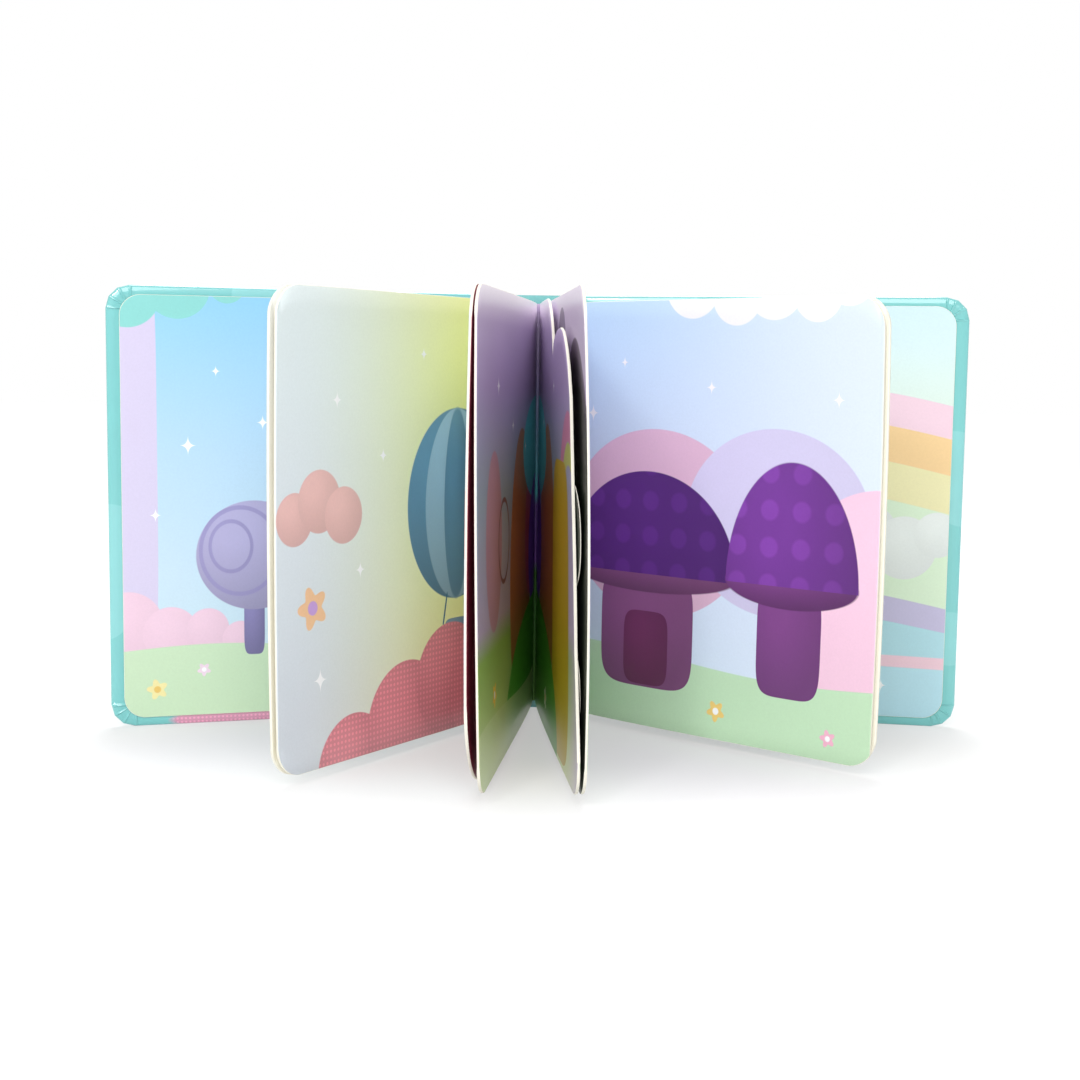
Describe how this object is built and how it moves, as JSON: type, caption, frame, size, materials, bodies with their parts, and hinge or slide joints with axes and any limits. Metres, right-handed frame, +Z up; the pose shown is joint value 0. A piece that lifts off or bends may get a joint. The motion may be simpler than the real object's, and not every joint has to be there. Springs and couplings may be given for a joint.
{
  "type": "pop up book",
  "caption": "Pop-up book standing open on its lower edges, with padded covers, a spine, a fan of stiff folded pages and folded pop-ups between them.",
  "frame": {"origin": "middle of the spine's foot, halfway through the spine board", "axes": "+Z up along the spine, +X to the reader's right, -Y towards the reader"},
  "size_m": [0.3704, 0.1834, 0.19],
  "materials": {
    "case_wrap": "gloss",
    "end_card": "gloss",
    "page_card": "gloss",
    "pop_up_card": "satin"
  },
  "bodies": {
    "book": {"spine": "case_wrap", "page_block": "page_card", "pop_up_1": "pop_up_card", "pop_up_2": "pop_up_card", "pop_up_3": "pop_up_card", "pop_up_4": "pop_up_card"},
    "front_cover": {"front_cover": "case_wrap", "front_pastedown": "end_card"},
    "back_cover": {"back_cover": "case_wrap", "back_pastedown": "end_card"}
  },
  "joints": [
    {"name": "front_cover_hinge", "type": "hinge", "parent": "book", "child": "front_cover", "pos_m": [-0.018, -0.0031, 0.095], "axis": [0, 0, 1], "range_deg": [-37, 44]},
    {"name": "back_cover_hinge", "type": "hinge", "parent": "book", "child": "back_cover", "pos_m": [0.018, -0.0021, 0.095], "axis": [0, 0, -1], "range_deg": [-30, 35]}
  ]
}
